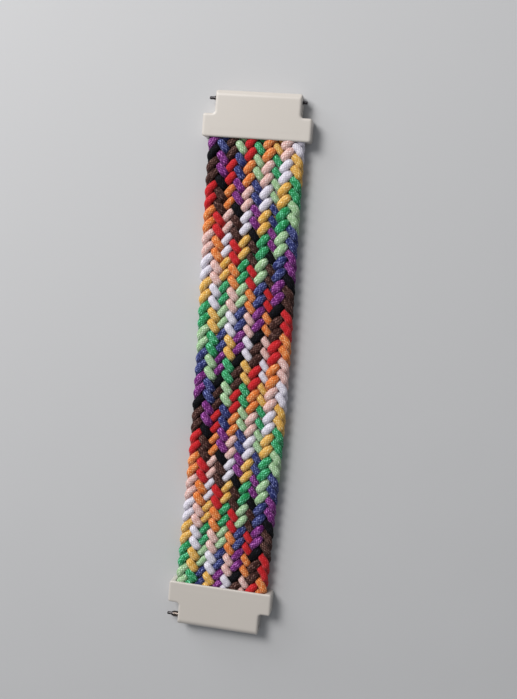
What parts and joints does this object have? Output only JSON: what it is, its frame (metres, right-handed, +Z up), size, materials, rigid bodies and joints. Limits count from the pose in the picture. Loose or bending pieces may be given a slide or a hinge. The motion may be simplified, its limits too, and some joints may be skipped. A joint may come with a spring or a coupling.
{
  "type": "braided watch strap",
  "caption": "Flat braided elastic watch strap with a moulded lug connector and a quick-release spring bar at each end.",
  "frame": {"origin": "middle of the strap's footprint, on the surface that it lies on", "axes": "+Y along the strap towards the upper connector, +X across it to the right, +Z up from the flat underside"},
  "size_m": [0.0284, 0.1414, 0.0045],
  "materials": {
    "ivory_plastic": "satin moulded plastic",
    "cord_black": "braided polyester sheath",
    "cord_brown": "braided polyester sheath",
    "cord_red": "braided polyester sheath",
    "cord_orange": "braided polyester sheath",
    "cord_pink": "braided polyester sheath",
    "cord_white": "braided polyester sheath",
    "cord_yellow": "braided polyester sheath",
    "cord_green": "braided polyester sheath",
    "cord_mint": "braided polyester sheath",
    "cord_blue": "braided polyester sheath",
    "cord_purple": "braided polyester sheath",
    "bar_steel": "drawn tube",
    "tip_steel": "turned pin",
    "spring_steel": "spring wire"
  },
  "bodies": {
    "strap": {"connector_top": "ivory_plastic", "cord_black": "cord_black", "cord_brown_a": "cord_brown", "cord_brown_b": "cord_brown", "cord_red_a": "cord_red", "cord_red_b": "cord_red", "cord_orange_a": "cord_orange", "cord_orange_b": "cord_orange", "cord_pink_a": "cord_pink", "cord_pink_b": "cord_pink", "cord_white_a": "cord_white", "cord_white_b": "cord_white", "cord_yellow_a": "cord_yellow", "cord_yellow_b": "cord_yellow", "cord_green_a": "cord_green", "cord_green_b": "cord_green", "cord_mint_a": "cord_mint", "cord_mint_b": "cord_mint", "cord_blue_a": "cord_blue", "cord_blue_b": "cord_blue", "cord_purple_a": "cord_purple", "cord_purple_b": "cord_purple"},
    "lower_end": {"connector_bottom": "ivory_plastic"},
    "bar_top": {"barrel_top": "bar_steel", "fixed_tip_top": "tip_steel", "coil_spring_top": "spring_steel"},
    "sprung_tip_top": {"plunger_top": "tip_steel", "release_knob_top": "tip_steel"},
    "bar_bottom": {"barrel_bottom": "bar_steel", "fixed_tip_bottom": "tip_steel", "coil_spring_bottom": "spring_steel"},
    "sprung_tip_bottom": {"plunger_bottom": "tip_steel", "release_knob_bottom": "tip_steel"}
  },
  "joints": [
    {"name": "strap_stretch", "type": "slide", "parent": "strap", "child": "lower_end", "axis": [0, -1, 0], "range_m": [0, 0.03], "stiffness_N_per_m": 200, "deforming": ["cord_black", "cord_brown_a", "cord_brown_b", "cord_red_a", "cord_red_b", "cord_orange_a", "cord_orange_b", "cord_pink_a", "cord_pink_b", "cord_white_a", "cord_white_b", "cord_yellow_a", "cord_yellow_b", "cord_green_a", "cord_green_b", "cord_mint_a", "cord_mint_b", "cord_blue_a", "cord_blue_b", "cord_purple_a", "cord_purple_b"]},
    {"name": "bar_slide_top", "type": "slide", "parent": "strap", "child": "bar_top", "axis": [1, 0, 0], "range_m": [-0.0014, 0.0022]},
    {"name": "release_top", "type": "slide", "parent": "bar_top", "child": "sprung_tip_top", "axis": [1, 0, 0], "range_m": [0, 0.002], "stiffness_N_per_m": 300, "springref_m": -0.004, "deforming": ["coil_spring_top"]},
    {"name": "bar_slide_bottom", "type": "slide", "parent": "lower_end", "child": "bar_bottom", "axis": [1, 0, 0], "range_m": [0, 0.0036]},
    {"name": "release_bottom", "type": "slide", "parent": "bar_bottom", "child": "sprung_tip_bottom", "axis": [-1, 0, 0], "range_m": [0, 0.002], "stiffness_N_per_m": 300, "springref_m": -0.004, "deforming": ["coil_spring_bottom"]}
  ]
}
